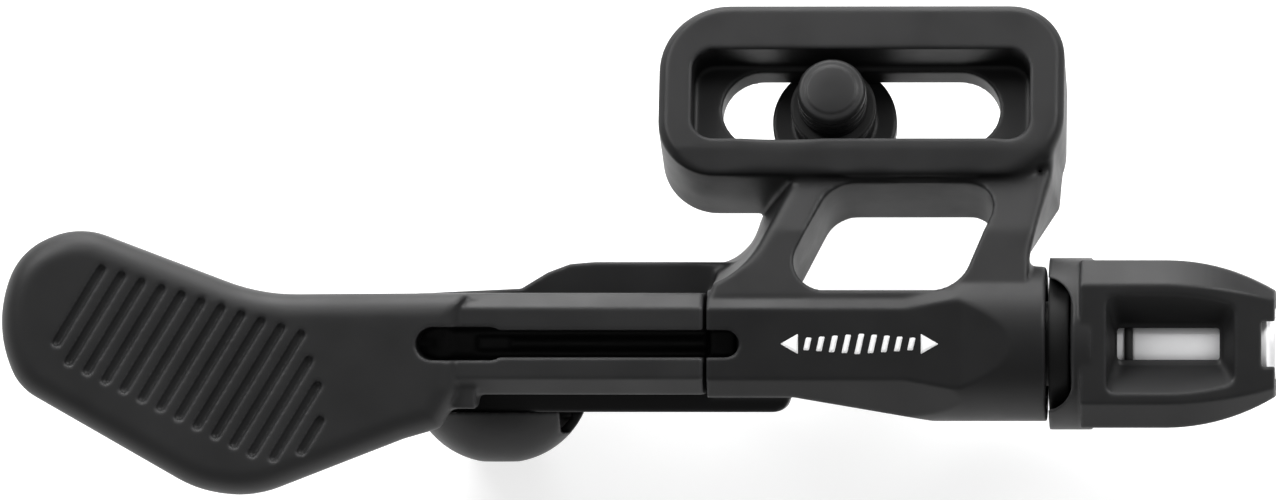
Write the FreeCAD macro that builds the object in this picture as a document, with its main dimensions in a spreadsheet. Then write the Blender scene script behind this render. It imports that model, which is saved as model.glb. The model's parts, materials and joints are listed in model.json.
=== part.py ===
"""Left-hand thumb lever for a bar-mounted cable remote, built as an assembly of sub-parts.

The row frame has +X along the handlebar, +Z out of the tray that bolts to the clamp, and its
origin on the clamp bolt's axis at the floor of the tray's pocket. The lower half (barrel, lever,
adjuster) is drawn in its own frame: X along the cable, Y across the lever, Z out of its face.
That frame is turned about X and moved to the barrel's axis. All sizes are in millimetres.
"""
import FreeCAD, Part
import math
import os
import re

import Sketcher

SIZES = {
    # the lower half's frame, seen from the row frame
    "tilt": 22.0,
    "barrel_y": -17.2,
    "barrel_z": -2.0,
    # tray
    "tray_left": -12.35,
    "tray_right": 16.55,
    "tray_bottom": -6.2,
    "tray_top": 6.85,
    "tray_rim": 3.3,
    "tray_back": -4.9,
    "tray_corner": 4.5,
    "tray_edge": 0.5,
    "pocket_left": -10.0,
    "pocket_right": 14.1,
    "pocket_half": 3.35,
    "pocket_low": -3.54,
    "pocket_corner": 1.6,
    "tray_bevel_top": -4.3,
    "tray_bevel_low": 2.95,
    "slot_left": -7.95,
    "slot_right": 11.9,
    "slot_half": 2.9,
    "floor_back": -2.2,
    "recess_left": -10.2,
    "recess_right": 14.4,
    "recess_half": 4.75,
    # struts between tray and barrel
    "strut_front": 2.8,
    "strut_back": -4.6,
    "strut_low": -15.5,
    "strut_slope_top": 2.1,
    "window_low": -15.0,
    "window_top": -6.5,
    "window_left": 0.15,
    "window_right": 12.45,
    "window_right_low": 9.2,
    "window_slant": 0.47,
    # barrel
    "barrel_r": 5.5,
    "barrel_left": -8.6,
    "barrel_right": 15.4,
    "barrel_flat": 4.55,
    "barrel_half": 3.8,
    "taper_left": -2.5,
    "taper_right": 7.3,
    "bevel": 4.96,
    "shoulder_left": 9.4,
    # cable groove
    "groove_half": 0.96,
    "groove_floor": -0.8,
    "groove_end": -6.3,
    "cable_hole_r": 0.9,
    "guide_r": 1.5,
    "guide_right": -2.6,
    # pivot and its two ears
    "pivot_x": -24.0,
    "pivot_z": -7.3,
    "ear_r": 5.3,
    "ear_front": -2.0,
    "upper_ear_low": 1.65,
    "upper_ear_tip": 3.55,
    "upper_ear_top": 5.8,
    "lower_ear_low": -4.9,
    "lower_ear_top": -3.2,
    "bridge_left": -13.4,
    "bridge_front": -2.6,
    "bridge_back": -6.4,
    # pivot axle
    "axle_r": 1.5,
    "axle_head_r": 2.2,
    "axle_head_low": -7.6,
    "axle_head_top": -6.75,
    "axle_top": 3.1,
    "clip_r": 2.5,
    "running_gap": 0.05,
    # spring cap under the lower ear
    "cap_r": 6.0,
    "cap_low": -8.5,
    "cap_wall": 0.9,
    # bushes and thrust washers
    "bush_r": 2.2,
    "flange_r": 2.8,
    "flange": 0.45,
    # lever
    "arm_right": -8.85,
    "arm_left": -27.0,
    "arm_half": 3.6,
    "arm_back": -1.6,
    "pad_face": 5.3,
    "pad_back": 1.2,
    "hub_r": 5.0,
    "hub_low": -2.25,
    "hub_top": 0.75,
    "nipple_r": 2.3,
    "nipple_left": -34.0,
    "nipple_seat": -30.2,
    "nipple_wall": 0.9,
    "nipple_way": 8.0,
    "groove_head_half": 1.18,
    "groove_left": -29.2,
    "rib_floor": -1.0,
    "rib_r": 0.55,
    # grip grooves in the thumb pad
    "grip_count": 14,
    "grip_pitch": 1.451,
    "grip_first": -46.75,
    "grip_angle": 58.6,
    "grip_width": 0.6,
    "grip_depth": 0.4,
    # return spring
    "spring_r": 3.35,
    "spring_pitch": 0.65,
    "leg_ease": 0.01,
    "spring_wire": 0.6,
    "spring_low": -6.35,
    "spring_top": -5.3,
    "leg_angle": 205.0,
    # clamp bolt
    "bolt_r": 2.45,
    "bolt_neck_r": 2.2,
    "bolt_neck": 0.6,
    "bolt_tip_r": 1.75,
    "bolt_tip": 3.75,
    "bolt_head_r": 4.2,
    "bolt_head": 3.3,
    "bolt_hex": 3.0,
    "bolt_hex_depth": 2.0,
    "clamp_washer_r": 4.45,
    "clamp_washer": 1.2,
    "clamp_step_r": 2.85,
    "clamp_step": 1.5,
    "keeper_r": 3.05,
    "keeper": 0.5,
    # cable adjuster
    "thread_r": 3.0,
    "thread_left": 5.6,
    "tip_right": 31.6,
    "socket_r": 2.2,
    "socket_left": 24.9,
    "knob_left": 17.9,
    "hub_face": 17.2,
    "knob_right": 31.6,
    "knob_half": 5.93,
    "knob_flat": 4.2,
    "knob_taper": 24.0,
    "knob_end_half": 3.75,
    "skirt_left": 15.6,
    "skirt_right": 18.6,
    "skirt_r": 6.1,
    "skirt_inner": 5.15,
    "bite_right": 17.3,
    "bite_half": 4.7,
    "scoop_left": 19.7,
    "scoop_right": 29.4,
    "scoop_half": 3.6,
    "scoop_floor": 3.5,
    "port_left": 20.45,
    "port_right": 27.7,
    "port_half": 1.12,
    "notch_half": 1.6,
    "notch_left": 30.65,
    "counterbore_r": 4.35,
    "counterbore_left": 12.4,
    "detent_left": 15.6,
    "detent_right": 17.05,
    "detent_r": 4.9,
    "coil_r": 3.75,
    "coil_wire": 0.6,
    "coil_turns": 3.0,
    "seal_x": 21.25,
    "seal_wire": 0.6,
}

AXES = {"X": FreeCAD.Vector(1, 0, 0), "Y": FreeCAD.Vector(0, 1, 0), "Z": FreeCAD.Vector(0, 0, 1)}
TURNS = {
    "X": FreeCAD.Rotation(FreeCAD.Vector(1, 1, 1), 120),
    "Y": FreeCAD.Rotation(FreeCAD.Vector(1, 0, 0), 90),
    "Z": FreeCAD.Rotation(),
}

doc = FreeCAD.newDocument("ThumbLever")
sheet = doc.addObject("Spreadsheet::Sheet", "Sheet")


def fill_sheet():
    """Write one named cell for each driving size."""
    for row, (name, value) in enumerate(SIZES.items(), 1):
        sheet.set("A%d" % row, name)
        sheet.set("B%d" % row, str(value))
        sheet.setAlias("B%d" % row, name)
    doc.recompute()


def size(name):
    """The sheet's present value of one size."""
    return float(sheet.get(name))


def cells(text):
    """An expression in which each size's name points at its cell."""
    def pointed(word):
        return "Sheet." + word[0] if word[0] in SIZES else word[0]
    return re.sub(r"[a-z][a-z_]*", pointed, str(text))


def value(text):
    """The number that an expression gives now."""
    return float(sheet.evalExpression(cells(text)))


def sketch(name, axis, offset, outlines):
    """A sketch across an axis: seen along X it holds (y, z), along Y (x, z) and along Z (x, y).

    Each corner is (across, up), or (across, up, radius) where an arc leads on to the next corner.
    A positive radius turns to the left.
    """
    drawn = doc.addObject("Sketcher::SketchObject", name)
    drawn.Placement = FreeCAD.Placement(FreeCAD.Vector(0, 0, 0), TURNS[axis])
    drawn.setExpression("Placement.Base." + axis.lower(), cells(offset))
    for corners in outlines:
        draw_outline(drawn, corners)
    return drawn


def draw_outline(drawn, corners):
    """Add one closed outline, each corner tied to the cells."""
    first = drawn.GeometryCount
    points = [FreeCAD.Vector(value(c[0]), value(c[1]), 0) for c in corners]
    count = len(corners)
    ends = []
    for i, corner in enumerate(corners):
        start, stop = points[i], points[(i + 1) % count]
        if len(corner) == 2:
            drawn.addGeometry(Part.LineSegment(start, stop), False)
            ends.append((1, 2))
        else:
            radius = value(corner[2])
            drawn.addGeometry(arc_between(start, stop, radius), False)
            ends.append((1, 2) if radius > 0 else (2, 1))
    for i in range(count):
        after = (i + 1) % count
        joined = Sketcher.Constraint("Coincident", first + i, ends[i][1], first + after, ends[after][0])
        drawn.addConstraint(joined)
    for i, corner in enumerate(corners):
        spans = (("DistanceX", corner[0], points[i].x), ("DistanceY", corner[1], points[i].y))
        for kind, text, number in spans:
            index = drawn.addConstraint(Sketcher.Constraint(kind, -1, 1, first + i, ends[i][0], number))
            drawn.setExpression("Constraints[%d]" % index, cells(text))
        if len(corner) == 3:
            index = drawn.addConstraint(Sketcher.Constraint("Radius", first + i, abs(value(corner[2]))))
            drawn.setExpression("Constraints[%d]" % index, "abs(%s)" % cells(corner[2]))


def arc_between(start, stop, radius):
    """The short arc of a radius from start to stop, turning left for a positive radius."""
    chord = stop - start
    reach = math.sqrt(max(radius * radius - chord.Length * chord.Length / 4, 0))
    left = FreeCAD.Vector(-chord.y, chord.x, 0).normalize()
    middle = (start + stop) * 0.5 + left * (reach if radius > 0 else -reach)
    low, high = (start, stop) if radius > 0 else (stop, start)
    angles = [math.atan2(point.y - middle.y, point.x - middle.x) for point in (low, high)]
    circle = Part.Circle(middle, FreeCAD.Vector(0, 0, 1), abs(radius))
    if angles[1] <= angles[0]:
        angles[1] += 2 * math.pi
    return Part.ArcOfCircle(circle, angles[0], angles[1])


def prism(name, axis, low, high, *outlines):
    """A solid with one outline, running along an axis from low to high."""
    solid = doc.addObject("Part::Extrusion", name)
    solid.Base = sketch(name + "_sketch", axis, low, outlines)
    solid.DirMode = "Custom"
    solid.Dir = AXES[axis]
    solid.Solid = True
    solid.setExpression("LengthFwd", cells("(%s) - (%s)" % (high, low)))
    return solid


def turned(name, axis, corners, centre=("0", "0")):
    """A solid of revolution along an axis; the outline holds (along, radius).

    The centre gives the axis's place in the other two directions.
    """
    plane, letters = {"X": ("Z", "YZ"), "Y": ("Z", "XZ"), "Z": ("Y", "XY")}[axis]
    outline = [(c[0], "%s + %s" % (centre[0], c[1])) + tuple(c[2:]) for c in corners]
    if axis != "X":
        outline = [(c[1], c[0]) + tuple("-(%s)" % r for r in c[2:]) for c in outline]
    solid = doc.addObject("Part::Revolution", name)
    solid.Source = sketch(name + "_sketch", plane, centre[1], [outline])
    solid.Axis = AXES[axis]
    solid.Angle = 360
    solid.Solid = True
    for letter, text in zip(letters, centre):
        solid.setExpression("Base." + letter.lower(), cells(text))
    return solid


def cylinder(name, axis, low, high, radius, across=("0", "0")):
    """A cylinder along an axis from low to high; across gives its centre in the other two axes."""
    solid = doc.addObject("Part::Cylinder", name)
    turn = {"X": FreeCAD.Rotation(AXES["Y"], 90), "Y": FreeCAD.Rotation(AXES["X"], -90),
            "Z": FreeCAD.Rotation()}
    solid.Placement = FreeCAD.Placement(FreeCAD.Vector(0, 0, 0), turn[axis])
    solid.setExpression("Radius", cells(radius))
    solid.setExpression("Height", cells("(%s) - (%s)" % (high, low)))
    solid.setExpression("Placement.Base." + axis.lower(), cells(low))
    for letter, text in zip({"X": "YZ", "Y": "XZ", "Z": "XY"}[axis], across):
        solid.setExpression("Placement.Base." + letter.lower(), cells(text))
    return solid


def ring(name, axis, low, high, inner, outer, across=("0", "0")):
    """A plain ring along an axis."""
    return cut(name, cylinder(name + "_disc", axis, low, high, outer, across),
               cylinder(name + "_bore", axis, "(%s) - 1" % low, "(%s) + 1" % high, inner, across))


def box(name, x, y, z):
    """A box between pairs of bounds."""
    solid = doc.addObject("Part::Box", name)
    for letter, side, (low, high) in zip("xyz", ("Length", "Width", "Height"), (x, y, z)):
        solid.setExpression("Placement.Base." + letter, cells(low))
        solid.setExpression(side, cells("(%s) - (%s)" % (high, low)))
    return solid


def fuse(name, *solids):
    """Join solids into one."""
    joined = doc.addObject("Part::MultiFuse", name)
    joined.Shapes = list(solids)
    joined.Refine = True
    doc.recompute()
    return joined


def common(name, *solids):
    """Keep what all the solids share."""
    shared = doc.addObject("Part::MultiCommon", name)
    shared.Shapes = list(solids)
    shared.Refine = True
    doc.recompute()
    return shared


def cut(name, base, *tools):
    """Take tools away from a base, and check that each of them removes something."""
    doc.recompute()
    for item in (base,) + tools:
        if item.Shape.isNull():
            raise ValueError("%s: %s has no shape" % (name, item.Name))
    for tool in tools:
        if base.Shape.common(tool.Shape).Volume < 1e-4:
            raise ValueError("%s: %s cuts nothing" % (name, tool.Name))
    joined = tools[0]
    if len(tools) > 1:
        joined = fuse(name + "_tools", *tools)
    result = doc.addObject("Part::Cut", name)
    result.Base = base
    result.Tool = joined
    result.Refine = True
    doc.recompute()
    return result


def rounded(name, base, radius, wanted, kind="Part::Fillet"):
    """Fillet or chamfer the edges of a solid for which wanted(edge) is true."""
    doc.recompute()
    result = doc.addObject(kind, name)
    result.Base = base
    number = value(radius)
    chosen = [i for i, edge in enumerate(base.Shape.Edges, 1) if wanted(edge)]
    if not chosen:
        raise ValueError("%s: no edge to round" % name)
    result.Edges = [(i, number, number) for i in chosen]
    doc.recompute()
    if result.Shape.isNull() or not result.Shape.isValid():
        raise ValueError("%s: the edges can't be rounded" % name)
    return result


def middle(edge):
    """The point halfway along an edge."""
    return edge.valueAt((edge.FirstParameter + edge.LastParameter) / 2)


def upright(edge, axis, places, spread=0.4):
    """True for a straight edge along an axis that passes near one of the places."""
    if edge.Curve.TypeId != "Part::GeomLine":
        return False
    if abs(abs(edge.Curve.Direction.dot(AXES[axis])) - 1) > 1e-4:
        return False
    point = middle(edge)
    flat = {"X": (point.y, point.z), "Y": (point.x, point.z), "Z": (point.x, point.y)}[axis]
    return any(math.dist(flat, (value(a), value(b))) < spread for a, b in places)


def to_lower_frame(solid):
    """Tilt a solid drawn in the lower half's frame, and move it to the barrel's axis."""
    solid.Placement = FreeCAD.Placement(FreeCAD.Vector(0, 0, 0), FreeCAD.Rotation(AXES["X"], 1))
    solid.setExpression("Placement.Rotation.Angle", cells("tilt"))
    solid.setExpression("Placement.Base.y", cells("barrel_y"))
    solid.setExpression("Placement.Base.z", cells("barrel_z"))
    return solid


def finish(solid, label, lower=True):
    """Give a finished sub-part its name, and put it in the row frame."""
    solid.Label = label
    if lower:
        to_lower_frame(solid)
    doc.recompute()
    finished.append(solid)
    return solid


PIVOT = ("pivot_x", "pivot_z")
BUMPER = ("bridge_left + 1.6", "-0.8")
finished = []


def build_tray():
    """The tray that the clamp sits in, still solid, and the cutters for its pocket, slot and recess."""
    corners = [("tray_left", "tray_bottom"), ("tray_right", "tray_bottom"),
               ("tray_right", "tray_top"), ("tray_left", "tray_top")]
    block = prism("tray_block", "Z", "tray_back", "tray_rim", corners)
    for number, change in enumerate((-0.4, 0, -0.6, 0.5)):
        block = rounded("tray_round_%d" % number, block, "tray_corner + %s" % change,
                        lambda e: upright(e, "Z", [corners[number]]))
    rim = value("tray_rim")
    block = rounded("tray_rim_edge", block, "tray_edge", lambda e: abs(e.BoundBox.ZMin - rim) < 1e-6,
                    "Part::Chamfer")
    back = value("tray_back")
    block = rounded("tray_back_edge", block, "tray_edge", lambda e: abs(e.BoundBox.ZMax - back) < 1e-6)
    bevel = prism("tray_bevel", "X", "tray_left - 1", "tray_right + 1", [
        ("tray_bottom", "tray_bevel_low"), ("tray_bevel_top", "tray_rim"), ("tray_bevel_top", "tray_rim + 1"),
        ("tray_bottom - 1", "tray_rim + 1"), ("tray_bottom - 1", "tray_bevel_low")])
    block = cut("tray_bevelled", block, bevel)
    pocket_corners = [("pocket_left", "pocket_low"), ("pocket_right", "pocket_low"),
                      ("pocket_right", "pocket_half"), ("pocket_left", "pocket_half")]
    pocket = prism("pocket_block", "Z", "0", "tray_rim + 1", pocket_corners)
    pocket = rounded("pocket_round", pocket, "pocket_corner", lambda e: upright(e, "Z", pocket_corners))
    slot = long_hole("slot_cut", "slot_left", "slot_right", "slot_half", "floor_back - 1", "1")
    recess = long_hole("recess_cut", "recess_left", "recess_right", "recess_half", "tray_back - 1",
                       "floor_back")
    return block, (pocket, slot, recess)


def long_hole(name, left, right, half, low, high):
    """A round-ended cutter along X."""
    inset_left = "%s + %s" % (left, half)
    inset_right = "%s - %s" % (right, half)
    outline = [(inset_left, "-" + half), (inset_right, "-" + half, half), (right, "0", half),
               (inset_right, half), (inset_left, half, half), (left, "0", half)]
    return prism(name, "Z", low, high, outline)


def build_struts():
    """The two slanted struts: a web that widens towards the back, with a window through it."""
    front = [("-2.1", "-5.7"), ("-4.9", "-11.4", "-6.9"), ("-8.2", "-14.6"), ("-8.3", "strut_low"),
             ("13.9", "strut_low"), ("14.3", "-12.2"), ("15.6", "-6.2"), ("16.1", "-1.8"), ("15.4", "-1.8"),
             ("15.0", "-5.7")]
    back = [("-5.0", "-5.7"), ("-5.5", "-7.4", "-3.74"), ("-8.2", "-10.0"), ("-8.3", "strut_low"),
            ("13.9", "strut_low"), ("13.8", "-9.6"), ("16.1", "-5.8"), ("16.4", "-1.8"), ("15.4", "-1.8"),
            ("15.0", "-5.7")]
    web = doc.addObject("Part::Loft", "web")
    web.Sections = [sketch("web_back", "Z", "strut_back", [back]),
                    sketch("web_front", "Z", "strut_front", [front])]
    web.Solid = True
    web.Ruled = True
    drop = "(window_top - window_low) * window_slant"
    corners = [("window_left - " + drop, "window_low"), ("window_right_low", "window_low"),
               ("window_right", "window_top"), ("window_left", "window_top")]
    window = prism("window_block", "Z", "-9", "6", corners)
    for name, corner, radius in (("left_low", 0, "2.3"), ("right_low", 1, "3.0"), ("right_top", 2, "1.9"),
                                 ("left_top", 3, "2.6")):
        window = rounded("window_" + name, window, radius, lambda e: upright(e, "Z", [corners[corner]]))
    slope = prism("strut_slope", "X", "-10", "18", [
        ("-5.0", "strut_slope_top - 0.2"), ("-10.5", "strut_front"), ("-10.5", "strut_front + 1"),
        ("-5.0", "strut_front + 1")])
    return cut("struts", web, window, slope)


def build_barrel():
    """The barrel around the cable, flattened and bevelled in front, flat above and tapered below."""
    bar = cylinder("barrel_bar", "X", "barrel_left", "barrel_right", "barrel_r")
    front = fading_flat("barrel_front", "barrel_flat", "shoulder_left", "3.6", 0)
    bevels = [fading_flat("barrel_bevel_%s" % side, "bevel", "shoulder_left - 4", "4", turn)
              for side, turn in (("top", -46), ("low", 46))]
    top = prism("barrel_top", "Z", "-8", "8", [
        ("barrel_left - 1", "barrel_half"), ("8.6", "barrel_half"), ("10.6", "barrel_r"),
        ("10.6", "barrel_r + 2"), ("barrel_left - 1", "barrel_r + 2")])
    low = prism("barrel_low", "Z", "-8", "8", [
        ("barrel_left - 1", "-barrel_half"), ("barrel_left - 1", "-barrel_r - 2"),
        ("taper_right", "-barrel_r - 2"), ("taper_right", "-barrel_r"), ("taper_left", "-barrel_half")])
    return cut("barrel", bar, front, top, low, *bevels)


def fading_flat(name, height, end, fade, turn):
    """A cutter for a flat along the barrel that runs out to full radius at its right-hand end."""
    flat = prism(name, "Y", "-8", "8", [
        ("barrel_left - 1", height), (end, height), ("%s + %s" % (end, fade), "barrel_r"),
        ("%s + %s" % (end, fade), "barrel_r + 3"), ("barrel_left - 1", "barrel_r + 3")])
    return spun(flat, turn)


def build_ears():
    """The two ears that hold the pivot, and the bridge between them."""
    tongue = [("-3", "ear_front"), ("pivot_x", "ear_front", "ear_r"), ("pivot_x - ear_r", "pivot_z", "ear_r"),
              ("pivot_x", "pivot_z - ear_r"), ("-11.5", "-7.4"), ("-3", "-4.8")]
    side = prism("upper_side", "Z", "-14", "0", [
        ("-3", "upper_ear_low"), ("-3", "4.5"), ("-5.4", "upper_ear_top"), ("-17", "upper_ear_top"),
        ("-18.7", "upper_ear_top - 0.15"), ("-20.3", "5.05"), ("-22.2", "upper_ear_tip + 0.35"),
        ("-30", "upper_ear_tip"), ("-30", "upper_ear_low")])
    upper = common("upper_ear", prism("upper_tongue", "Y", "0", "9", tongue), side)
    lower = prism("lower_ear", "Y", "lower_ear_low", "lower_ear_top", tongue)
    lower = rounded("lower_ear_round", lower, "1.2", lambda e: upright(e, "Z", [("-3", "lower_ear_low")]))
    bridge = box("bridge", ("bridge_left", "-5"), ("lower_ear_low + 1", "upper_ear_low + 1"),
                 ("bridge_back", "bridge_front"))
    return upper, lower, bridge


def build_bracket():
    """The forged bracket: tray, struts, barrel and ears in one piece."""
    lower = to_lower_frame(fuse("lower_half", build_barrel(), *build_ears()))
    tray, openings = build_tray()
    body = fuse("bracket_solid", tray, build_struts(), lower)
    groove = long_hole("bracket_groove", "barrel_left - 2", "groove_end", "groove_half", "groove_floor",
                       "barrel_r + 1")
    guide = cylinder("guide_bore", "X", "groove_end - 0.5", "guide_right", "guide_r + running_gap")
    hole = cylinder("cable_bore", "X", "groove_end", "thread_left", "cable_hole_r")
    thread = cylinder("thread_bore", "X", "thread_left - 0.6", "barrel_right + 1", "thread_r + running_gap")
    well = cylinder("counterbore", "X", "counterbore_left", "barrel_right + 1", "counterbore_r")
    axle = cylinder("axle_bore", "Y", "lower_ear_low - 1", "upper_ear_tip + 3", "axle_r + running_gap", PIVOT)
    clip = cylinder("clip_bore", "Y", "axle_top - 0.9", "upper_ear_tip + 3", "clip_r + 0.2", PIVOT)
    plug = cylinder("bumper_bore", "Z", "bridge_front - 1.5", "bridge_front + 0.5", "0.75", BUMPER)
    bores = to_lower_frame(fuse("lower_bores", groove, guide, hole, thread, well, axle, clip, plug,
                                spring_way()))
    body = cut("bracket_cut", body, bores, *openings)
    finish(body, "bracket", lower=False)


def spring_way():
    """The curved slot in the lower ear through which the spring's leg reaches the lever."""
    inner = cylinder("way_inner", "Y", "lower_ear_low - 1", "lower_ear_top + 1",
                     "spring_r - spring_wire * 0.6", PIVOT)
    outer = cylinder("way_outer", "Y", "lower_ear_low - 0.5", "lower_ear_top + 0.5",
                     "spring_r + spring_wire * 0.6", PIVOT)
    wedge = prism("way_wedge", "Y", "lower_ear_low - 1", "lower_ear_top + 1", [
        ("pivot_x", "pivot_z")] + [
        ("pivot_x + 9 * cos(leg_angle + %d)" % turn, "pivot_z + 9 * sin(leg_angle + %d)" % turn)
        for turn in (-12, 48)])
    return cut("spring_way", common("way_sector", outer, wedge), inner)


def build_lever():
    """The lever: arm with the cable groove, neck, thumb pad, hub and the seat for the cable's head."""
    arm = prism("arm", "X", "arm_left - 2", "arm_right", [
        ("-arm_half", "arm_back"), ("arm_half", "arm_back"), ("arm_half", "barrel_flat - 1.15"),
        ("2.55", "barrel_flat"), ("-2.45", "barrel_flat"), ("-arm_half", "barrel_flat - 1.3")])
    hub = cylinder("hub", "Y", "hub_low", "hub_top", "hub_r", PIVOT)
    stem = box("hub_stem", ("pivot_x - hub_r + 0.3", "pivot_x + hub_r"), ("hub_low", "hub_top"),
               ("pivot_z", "arm_back + 1"))
    boss = cylinder("nipple_boss", "X", "nipple_left", "arm_left - 0.6", "nipple_r + nipple_wall")
    corners = [("-25.6", "arm_half"), ("-40.4", "3.5"), ("-53.3", "8.4"), ("-57.6", "6.6"), ("-59.35", "1.3"),
               ("-57.6", "-3.1"), ("-44.9", "-10.35"), ("-41.0", "-10.95"), ("-30.2", "-6.75"),
               ("-27.6", "-6.0"), ("-26.2", "-arm_half")]
    pad = prism("pad_block", "Z", "pad_back", "pad_face", corners)
    for step, radius in ((1, "14"), (2, "5.1"), (3, "4.9"), (4, "8.6"), (5, "3.9"), (6, "8.5"), (7, "7.6")):
        pad = rounded("pad_corner_%d" % step, pad, radius,
                      lambda e, at=corners[step]: upright(e, "Z", [at], 0.05))
    face, back = value("pad_face"), value("pad_back")
    pad = rounded("pad_soft", pad, "1.8", lambda e: pad_edge(e, face))
    pad = rounded("pad_soft_back", pad, "1.0", lambda e: pad_edge(e, back))
    root = prism("pad_root", "Y", "-4.6", "3.3", [
        ("-25", "-0.6"), ("-25", "pad_face - 1.3"), ("-36", "pad_face - 1.3"), ("-38", "pad_back + 0.3")])
    body = fuse("lever_body", arm, hub, stem, boss, pad, root)
    rib = cylinder("groove_rib", "X", "groove_left + 4", "arm_right", "rib_r", ("0", "rib_floor - 0.15"))
    groove = cut("arm_groove", box("arm_groove_box", ("groove_left + 2", "arm_right + 1"),
                                   ("-groove_half", "groove_half"), ("rib_floor", "barrel_r + 1")), rib)
    head = long_hole("groove_head", "groove_left", "groove_left + 6.4", "groove_head_half", "groove_floor",
                     "pad_face + 1")
    hole = cylinder("lever_cable_hole", "X", "nipple_seat - 1", "groove_left + 1", "cable_hole_r")
    seat = cylinder("nipple_bore", "X", "nipple_left - nipple_way", "nipple_seat", "nipple_r")
    bore = cylinder("bush_bore", "Y", "hub_low - 1", "hub_top + 1", "bush_r", PIVOT)
    leg = cylinder("leg_hole", "Y", "hub_low - 1", "hub_top + 0.5", "spring_wire / 2 + running_gap",
                   ("pivot_x + spring_r * cos(leg_angle)", "pivot_z + spring_r * sin(leg_angle)"))
    finish(cut("lever_cut", body, groove, head, hole, seat, bore, leg, grip_grooves()), "lever")


def pad_edge(edge, height):
    """True for an edge around the thumb pad at one height."""
    box_of = edge.BoundBox
    return abs(box_of.ZMin - height) < 1e-4 and abs(box_of.ZMax - height) < 1e-4 and box_of.XLength > 0.01


def grip_grooves():
    """Cutters for the oblique grip grooves, each clipped to the pad's grip zone."""
    zone = [(-51.4, 5.3), (-37.4, 0.75), (-35.6, -4.5), (-36.8, -7.5), (-39.9, -8.2), (-54.2, -1.1),
            (-54.9, 0.5)]
    turn = math.radians(size("grip_angle"))
    along = FreeCAD.Vector(math.cos(turn), math.sin(turn), 0)
    across = FreeCAD.Vector(math.sin(turn), -math.cos(turn), 0)
    half = size("grip_width") / 2
    cutters = []
    for number in range(int(size("grip_count"))):
        base = across * (size("grip_first") + number * size("grip_pitch"))
        reach = []
        for (x1, y1), (x2, y2) in zip(zone, zone[1:] + zone[:1]):
            side = FreeCAD.Vector(x2 - x1, y2 - y1, 0)
            turned_by = along.cross(side).z
            if abs(turned_by) < 1e-6:
                continue
            start = FreeCAD.Vector(x1, y1, 0) - base
            share = start.cross(along).z / turned_by
            if -0.02 <= share <= 1.02:
                reach.append(start.cross(side).z / turned_by)
        low, high = min(reach), max(reach)
        cutters.append(grip_cutter(base + along * low, base + along * high, across * half))
    cutter = doc.addObject("Part::Feature", "grip_cutters")
    cutter.Shape = Part.makeCompound(cutters)
    return cutter


def grip_cutter(first, last, side):
    """One round-ended groove cutter between two points."""
    run = (last - first).normalize() * side.Length
    edges = [Part.LineSegment(first + side, last + side).toShape(),
             Part.Arc(last + side, last + run, last - side).toShape(),
             Part.LineSegment(last - side, first - side).toShape(),
             Part.Arc(first - side, first - run, first + side).toShape()]
    face = Part.Face(Part.Wire(edges))
    face.translate(FreeCAD.Vector(0, 0, size("pad_face") - size("grip_depth")))
    return face.extrude(FreeCAD.Vector(0, 0, 3))


def build_pivot():
    """Axle, clip, spring cap, bushes, washers, spool and rubber bumper."""
    gap = "running_gap"
    axle = turned("axle_body", "Y", [
        ("axle_head_low", "0"), ("axle_head_low", "axle_head_r"), ("axle_head_top", "axle_head_r"),
        ("axle_head_top", "axle_r"), ("axle_top - 0.8", "axle_r"), ("axle_top - 0.8", "axle_r - 0.3"),
        ("axle_top - 0.3", "axle_r - 0.3"), ("axle_top - 0.3", "axle_r"), ("axle_top", "axle_r - 0.2"),
        ("axle_top", "0")], PIVOT)
    hexagon = hex_socket("axle_hex", "Y", "axle_head_low - 1", "axle_head_low + 0.6", "1.0", PIVOT)
    finish(cut("axle", axle, hexagon), "pivot_axle")
    clip = ring("clip_ring", "Y", "axle_top - 0.75", "axle_top - 0.35", "axle_r - 0.3 + running_gap",
                "clip_r", PIVOT)
    mouth = box("clip_mouth", ("pivot_x", "pivot_x + 5"), ("axle_top - 2", "axle_top + 1"),
                ("pivot_z - 0.9", "pivot_z + 0.9"))
    finish(cut("clip", clip, mouth), "axle_clip")
    build_cap()
    finish(bush("upper", "hub_top", "1"), "pivot_bush_upper")
    finish(bush("lower", "hub_low", "-1"), "pivot_bush_lower")
    finish(ring("washer_up", "Y", "hub_top + flange + " + gap, "upper_ear_low - " + gap, "axle_r + " + gap,
                "flange_r", PIVOT), "thrust_washer_upper")
    finish(ring("washer_low", "Y", "lower_ear_top + " + gap, "hub_low - flange - " + gap, "axle_r + " + gap,
                "flange_r", PIVOT), "thrust_washer_lower")
    finish(ring("spool", "Y", "axle_head_top + " + gap, "lower_ear_low - " + gap, "axle_r + " + gap,
                "spring_r - spring_wire / 2 - 0.15", PIVOT), "spring_spool")
    stem = cylinder("bumper_stem", "Z", "bridge_front - 1.4", "bridge_front", "0.7", BUMPER)
    head = cylinder("bumper_head", "Z", "bridge_front", "arm_back - " + gap, "1.2", BUMPER)
    finish(fuse("bumper", stem, head), "rest_bumper")


def bush(name, face, sign):
    """A flanged bush that sits in one end of the lever's hub."""
    depth = "(hub_top - hub_low) / 2 - 0.1"
    outer = "%s + %s * flange" % (face, sign)
    inner = "%s - %s * (%s)" % (face, sign, depth)
    return turned("bush_" + name, "Y", [
        (inner, "axle_r + running_gap"), (inner, "bush_r"), (face, "bush_r"), (face, "flange_r"),
        (outer, "flange_r"), (outer, "axle_r + running_gap")], PIVOT)


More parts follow.
